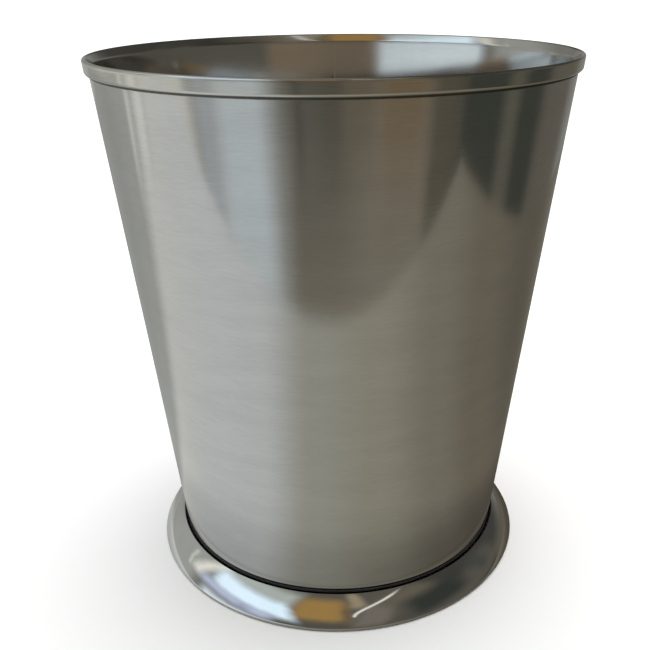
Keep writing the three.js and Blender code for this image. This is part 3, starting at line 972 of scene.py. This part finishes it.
SCREW_HEAD_HEIGHT = 2.4 * MM
SCREW_HEAD_ROUND = 0.9 * MM
SCREW_HEAD_EDGE = 0.15 * MM
HEAD_CENTRE_RADIUS = 0.4 * MM
SHANK_RADIUS = 2 * MM
SHANK_PLAIN = 2.2 * MM            # length without a thread, under the head
SCREW_TIP = 0.8 * MM
SCREW_FACETS = 36
THREAD_PITCH = 0.7 * MM
THREAD_DEPTH = 0.36 * MM
THREAD_ROWS_PER_TURN = 6
RECESS_WIDE = 2.1 * MM            # half length of the cross recess, at its mouth
RECESS_NARROW = 1.0 * MM          # the same at its floor
RECESS_SLOT = 0.42 * MM           # half width of its arms
RECESS_DRAFT = 0.7                # width of an arm's floor over the width of its mouth
RECESS_DEPTH = 1.5 * MM
RECESS_CLEAR = 0.2 * MM
RECESS_TURN = 0.35                # radians from one screw's recess to the next one's
SQUARE = ((-1, -1), (1, -1), (1, 1), (-1, 1))
WASHER_ROUND = 0.15 * MM
WASHER_FACETS = 48
STANDOFF_FLANGE = 0.35 * MM       # overhang of the flange welded to the pan, and its fillet's radius
STANDOFF_FILLET_DROP = 0.9 * MM   # the fillet ends this far below the top
STANDOFF_EDGE = 0.5 * MM
STANDOFF_MOUTH = 0.4 * MM
STANDOFF_BORE_DEPTH = 12 * MM
STANDOFF_DRILL_POINT = 0.8 * MM
STANDOFF_FACETS = 40
FOOT_ROUND = 0.5 * MM
FOOT_SHOULDER = 0.25 * MM
FOOT_NECK_RADIUS = 2.4 * MM
FOOT_BARB_RADIUS = 3.6 * MM
FOOT_BARB_EDGE = 0.3 * MM
FOOT_TIP_RADIUS = 1.8 * MM
FOOT_TIP_EDGE = (0.3 * MM, 0.15 * MM)
FOOT_FACETS = 64
TREAD_RADII = (2.4 * MM, 4.2 * MM, 6.0 * MM)
TREAD_MOUTH = 0.45 * MM           # half width of a tread groove at the floor
TREAD_FLOOR = 0.25 * MM           # half width of its own floor
TREAD_DEPTH = 0.35 * MM


def thread_rows(radius, start, end):
    steps = int((end - start) / (THREAD_PITCH / THREAD_ROWS_PER_TURN))
    return [(radius, start + (end - start) * i / steps) for i in range(1, steps)]


def thread_dip(z, angle):
    """How far the thread lies below its crest, from 0 to 1."""
    phase = (z / THREAD_PITCH - angle / (2 * math.pi)) % 1.0
    return 1 - abs(2 * phase - 1)


def make_screw(number):
    low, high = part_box(f"base_screw_{number}")
    centre = (low + high) / 2
    head_radius = (high.x - low.x) / 2
    round_r = head_radius - SCREW_HEAD_ROUND
    head_top = low.z + SCREW_HEAD_HEIGHT
    thread_start = head_top + SHANK_PLAIN
    thread_end = high.z - SCREW_TIP
    outline = [
        (0.0, low.z),
        *line((HEAD_CENTRE_RADIUS, low.z), (round_r, low.z), 3),
        *arc(round_r, low.z + SCREW_HEAD_ROUND, SCREW_HEAD_ROUND, -90, 0, 7),
        (head_radius, head_top - SCREW_HEAD_EDGE), (head_radius - SCREW_HEAD_EDGE, head_top),
        (SHANK_RADIUS, head_top),
        *thread_rows(SHANK_RADIUS, thread_start, thread_end),
        (SHANK_RADIUS - SCREW_TIP, high.z), (0.0, high.z),
    ]

    def change(r, z, angle):
        if thread_start < z < thread_end and r > SHANK_RADIUS * 0.9:
            return r - THREAD_DEPTH * thread_dip(z, angle), z
        return r, z

    screw = revolve(f"screw_{number}", outline, even_angles(SCREW_FACETS), change, sharp=40.0)
    mouth = [(x * RECESS_WIDE, y * RECESS_SLOT) for x, y in SQUARE]
    floor = [(x * RECESS_NARROW, y * RECESS_SLOT * RECESS_DRAFT) for x, y in SQUARE]
    for turn in (0.0, math.pi / 2):
        arm = tapered_block(
            "recess", mouth, low.z - RECESS_CLEAR, floor, low.z + RECESS_DEPTH,
            turn + RECESS_TURN * number,
        )
        combine(screw, arm, "DIFFERENCE")
    move_aside(screw, centre.x, centre.y)
    install(screw, f"base_screw_{number}", "zinc_steel")


def rounded_ring(inner, outer, bottom, top, edge, steps=4):
    """The outline of a ring with rounded outer and inner edges."""
    return [
        *arc(inner + edge, bottom + edge, edge, 180, 270, steps),
        *arc(outer - edge, bottom + edge, edge, -90, 0, steps),
        *arc(outer - edge, top - edge, edge, 0, 90, steps),
        *arc(inner + edge, top - edge, edge, 90, 180, steps),
    ]


def make_washer(number):
    low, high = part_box(f"screw_washer_{number}")
    centre = (low + high) / 2
    outline = rounded_ring(SCREW_HOLE_RADIUS, (high.x - low.x) / 2, low.z, high.z, WASHER_ROUND)
    washer = revolve(f"washer_{number}", outline, even_angles(WASHER_FACETS), sharp=60.0)
    move_aside(washer, centre.x, centre.y)
    install(washer, f"screw_washer_{number}", "zinc_steel")


def make_standoff(number):
    low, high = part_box(f"weld_standoff_{number}")
    centre = (low + high) / 2
    radius = (high.x - low.x) / 2
    barrel = radius - STANDOFF_FLANGE
    bore_end = low.z + STANDOFF_BORE_DEPTH
    outline = [
        (0.0, high.z),
        (radius, high.z),
        *arc(radius, high.z - STANDOFF_FILLET_DROP, STANDOFF_FLANGE, 90, 180, 5)[1:],
        (barrel, low.z + STANDOFF_EDGE), (barrel - STANDOFF_EDGE, low.z),
        (SCREW_HOLE_RADIUS + STANDOFF_MOUTH, low.z), (SCREW_HOLE_RADIUS, low.z + STANDOFF_MOUTH),
        (SCREW_HOLE_RADIUS, bore_end - STANDOFF_DRILL_POINT), (0.0, bore_end),
    ]
    standoff = revolve(f"standoff_{number}", outline, even_angles(STANDOFF_FACETS))
    move_aside(standoff, centre.x, centre.y)
    install(standoff, f"weld_standoff_{number}", "zinc_steel")


def tread_groove(radius):
    """A ring groove in the underside of a foot."""
    return [
        (radius - TREAD_MOUTH, 0.0), (radius - TREAD_FLOOR, TREAD_DEPTH),
        (radius + TREAD_FLOOR, TREAD_DEPTH), (radius + TREAD_MOUTH, 0.0),
    ]


def make_foot(number):
    low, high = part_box(f"rubber_foot_{number}")
    centre = (low + high) / 2
    radius = (high.x - low.x) / 2
    pad_top = plate_low.z - FIT_GAP
    barb = plate_low.z + PLATE_THICKNESS + FIT_GAP
    tip_inset, tip_drop = FOOT_TIP_EDGE
    outline = [(0.0, 0.0)]
    for tread_radius in TREAD_RADII:
        outline += tread_groove(tread_radius)
    outline += [
        *arc(radius - FOOT_ROUND, FOOT_ROUND, FOOT_ROUND, -90, 0, 6),
        (radius, pad_top - FOOT_SHOULDER), (radius - FOOT_SHOULDER, pad_top),
        (FOOT_NECK_RADIUS, pad_top), (FOOT_NECK_RADIUS, barb), (FOOT_BARB_RADIUS, barb),
        (FOOT_BARB_RADIUS, barb + FOOT_BARB_EDGE), (FOOT_TIP_RADIUS, high.z - tip_drop),
        (FOOT_TIP_RADIUS - tip_inset, high.z), (0.0, high.z),
    ]
    foot = revolve(f"foot_{number}", outline, even_angles(FOOT_FACETS))
    move_aside(foot, centre.x, centre.y)
    install(foot, f"rubber_foot_{number}", "foot_rubber")


make_body()
make_rim_band()
make_floor_pan()
make_gasket()
make_base_ring()
make_base_plate()
for number in range(1, 5):
    make_screw(number)
    make_washer(number)
    make_standoff(number)
    make_foot(number)
